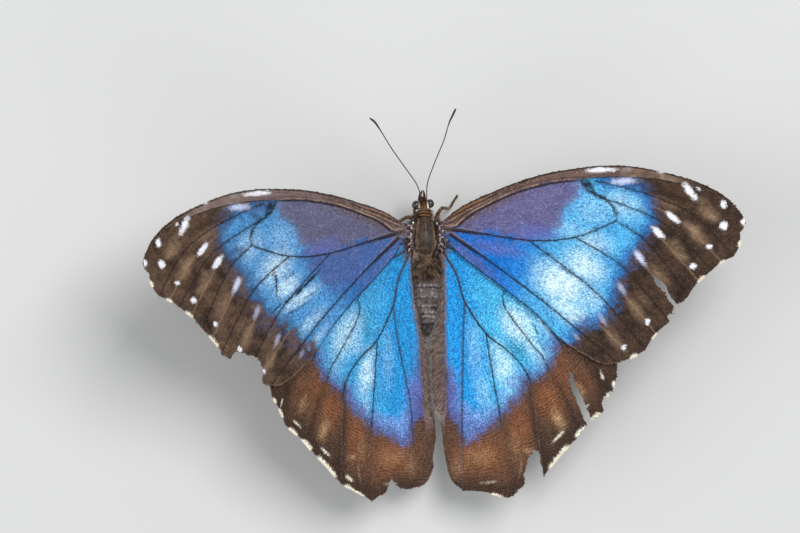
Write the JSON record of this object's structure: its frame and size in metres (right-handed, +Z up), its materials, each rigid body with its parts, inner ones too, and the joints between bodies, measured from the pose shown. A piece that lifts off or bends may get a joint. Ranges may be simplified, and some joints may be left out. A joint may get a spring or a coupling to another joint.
{
  "type": "blue morpho butterfly",
  "caption": "Life-size blue morpho butterfly resting with its worn wings spread in a shallow V, standing on its walking legs with its feelers raised.",
  "frame": {"origin": "middle of the insect's bounding box, on the floor it stands on", "axes": "+Z up, +Y towards the head, +X towards the right wings"},
  "size_m": [0.1296, 0.0848, 0.0422],
  "materials": {
    "wing_scales": "iridescent blue scales with brown borders, satin",
    "body_hair": "short grey-brown hair and scales, matt",
    "chitin": "dark brown cuticle, slight sheen",
    "eye": "near-black, glossy"
  },
  "bodies": {
    "root": {"head": "body_hair", "thorax": "body_hair", "abdomen": "body_hair", "tegula_left": "body_hair", "tegula_right": "body_hair", "eye_left": "eye", "eye_right": "eye", "antenna_left": "chitin", "antenna_right": "chitin", "palp_left": "body_hair", "palp_right": "body_hair", "proboscis": "chitin", "foreleg_left": "chitin", "foreleg_right": "chitin", "midleg_left": "chitin", "midleg_right": "chitin", "hindleg_left": "chitin", "hindleg_right": "chitin", "forewing_left": "wing_scales", "forewing_right": "wing_scales", "hindwing_left": "wing_scales", "hindwing_right": "wing_scales"}
  },
  "joints": []
}
